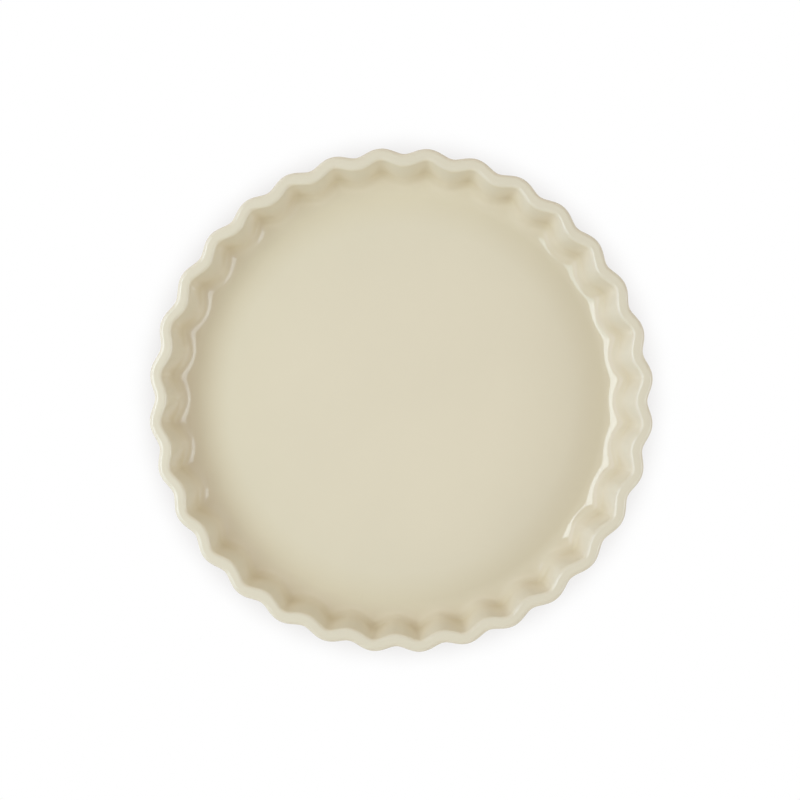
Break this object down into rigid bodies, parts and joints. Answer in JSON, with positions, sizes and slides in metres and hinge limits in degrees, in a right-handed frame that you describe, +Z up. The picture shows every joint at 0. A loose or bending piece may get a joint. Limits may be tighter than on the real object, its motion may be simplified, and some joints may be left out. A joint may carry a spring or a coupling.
{
  "type": "fluted baking dish",
  "caption": "Round stoneware baking dish with a leaning fluted wall, wavy rim with rounded edges, flat floor and low bare foot ring, under a glossy cream glaze, for baking and serving tarts.",
  "frame": {"origin": "middle of the plane that the foot ring stands on", "axes": "+Z up along the dish's axis, +X through a flute crest"},
  "size_m": [0.28, 0.28, 0.035],
  "materials": {
    "stoneware": "bare fired stoneware, pale buff, matt and finely gritty, worn smooth where it stands",
    "glaze": "glossy opaque cream glaze, a little thinner and paler on the edges"
  },
  "bodies": {
    "root": {"stoneware_body": "stoneware", "liner_glaze": "glaze", "outer_glaze": "glaze", "base_glaze": "glaze"}
  },
  "joints": []
}
